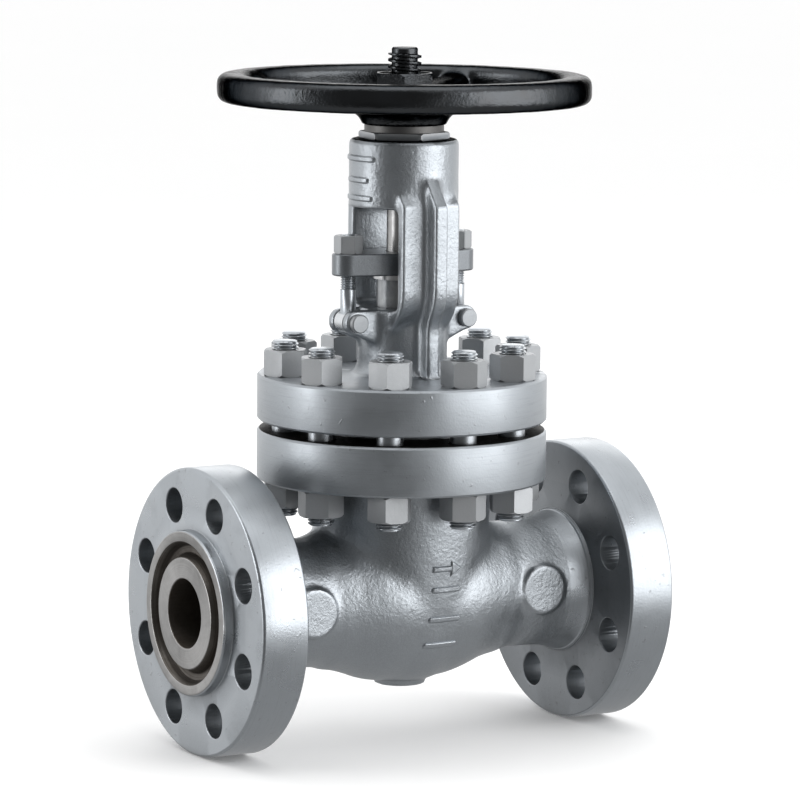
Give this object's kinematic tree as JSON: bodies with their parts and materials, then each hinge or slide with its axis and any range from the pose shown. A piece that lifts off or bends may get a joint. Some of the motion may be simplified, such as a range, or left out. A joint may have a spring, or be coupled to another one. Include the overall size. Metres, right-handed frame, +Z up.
{
  "type": "globe valve",
  "caption": "Flanged globe valve with a bolted bonnet and outside screw; its handwheel raises a plug disc off a seat to throttle or shut flow in a pipe.",
  "frame": {"origin": "on the stem axis, at the height of the lowest points of the two pipe flanges", "axes": "+X along the pipe axis towards the outlet, +Y to the side, +Z up along the stem towards the handwheel"},
  "size_m": [0.3712, 0.2816, 0.5229],
  "materials": {
    "silver_paint": "silver-grey enamel over rough casting, satin",
    "nut_paint": "silver-grey enamel over machined nuts, satin",
    "stud_paint": "silver-grey enamel over rolled threads",
    "gland_paint": "grey enamel, satin",
    "gland_hardware": "silver-grey enamel, worn at the corners",
    "stainless": "turned, satin",
    "stem_steel": "ground and oiled",
    "soft_iron": "turned, dull",
    "graphite": "braided graphite, dull",
    "bronze": "turned bronze, satin",
    "black_gloss": "gloss black enamel over casting"
  },
  "bodies": {
    "valve_body": {"body": "silver_paint", "seat_ring": "stainless", "bonnet_gasket": "soft_iron", "bonnet": "silver_paint", "bonnet_studs": "stud_paint", "bonnet_nuts_upper": "nut_paint", "bonnet_nuts_lower": "nut_paint", "backseat_bushing": "stainless", "packing_washer": "stainless", "packing_rings": "graphite", "inlet_side_gland_pin": "gland_hardware", "outlet_side_gland_pin": "gland_hardware", "inlet_side_eyebolt": "gland_hardware", "outlet_side_eyebolt": "gland_hardware", "stem_key": "stem_steel", "yoke_cap": "silver_paint", "yoke_cap_screw": "stem_steel", "lower_thrust_washer": "bronze", "upper_thrust_washer": "bronze"},
    "handwheel": {"yoke_sleeve": "bronze", "wheel_washer": "bronze", "wheel_key": "stem_steel", "handwheel": "black_gloss", "wheel_nut": "black_gloss"},
    "stem": {"stem": "stem_steel"},
    "disc": {"disc": "stainless", "disc_nut": "stainless"},
    "gland": {"gland_flange": "gland_paint", "gland_follower": "stainless"},
    "inlet_gland_nut": {"inlet_side_gland_nut": "gland_hardware"},
    "outlet_gland_nut": {"outlet_side_gland_nut": "gland_hardware"}
  },
  "joints": [
    {"name": "handwheel_turn", "type": "hinge", "parent": "valve_body", "child": "handwheel", "pos_m": [0, 0, 0.48], "axis": [0, 0, 1], "range_deg": [0, 1260]},
    {"name": "stem_lift", "type": "slide", "parent": "valve_body", "child": "stem", "axis": [0, 0, 1], "range_m": [0, 0.0178]},
    {"name": "disc_spin", "type": "hinge", "parent": "stem", "child": "disc", "pos_m": [0, 0, 0.13], "axis": [0, 0, 1], "continuous": true},
    {"name": "gland_take_up", "type": "slide", "parent": "valve_body", "child": "gland", "axis": [0, 0, 1], "range_m": [-0.006, 0], "deforming": ["packing_rings"]},
    {"name": "inlet_nut_turn", "type": "hinge", "parent": "gland", "child": "inlet_gland_nut", "pos_m": [-0.0475, 0, 0.375], "axis": [0, 0, 1], "range_deg": [-1236, 0]},
    {"name": "outlet_nut_turn", "type": "hinge", "parent": "gland", "child": "outlet_gland_nut", "pos_m": [0.0475, 0, 0.375], "axis": [0, 0, 1], "range_deg": [-1236, 0]}
  ],
  "couplings": [
    {"joint": "stem_lift", "follows": "handwheel_turn", "m_per_rad": 0.00080851},
    {"joint": "inlet_nut_turn", "follows": "gland_take_up", "rad_per_m": 3590.4},
    {"joint": "outlet_nut_turn", "follows": "gland_take_up", "rad_per_m": 3590.4}
  ]
}
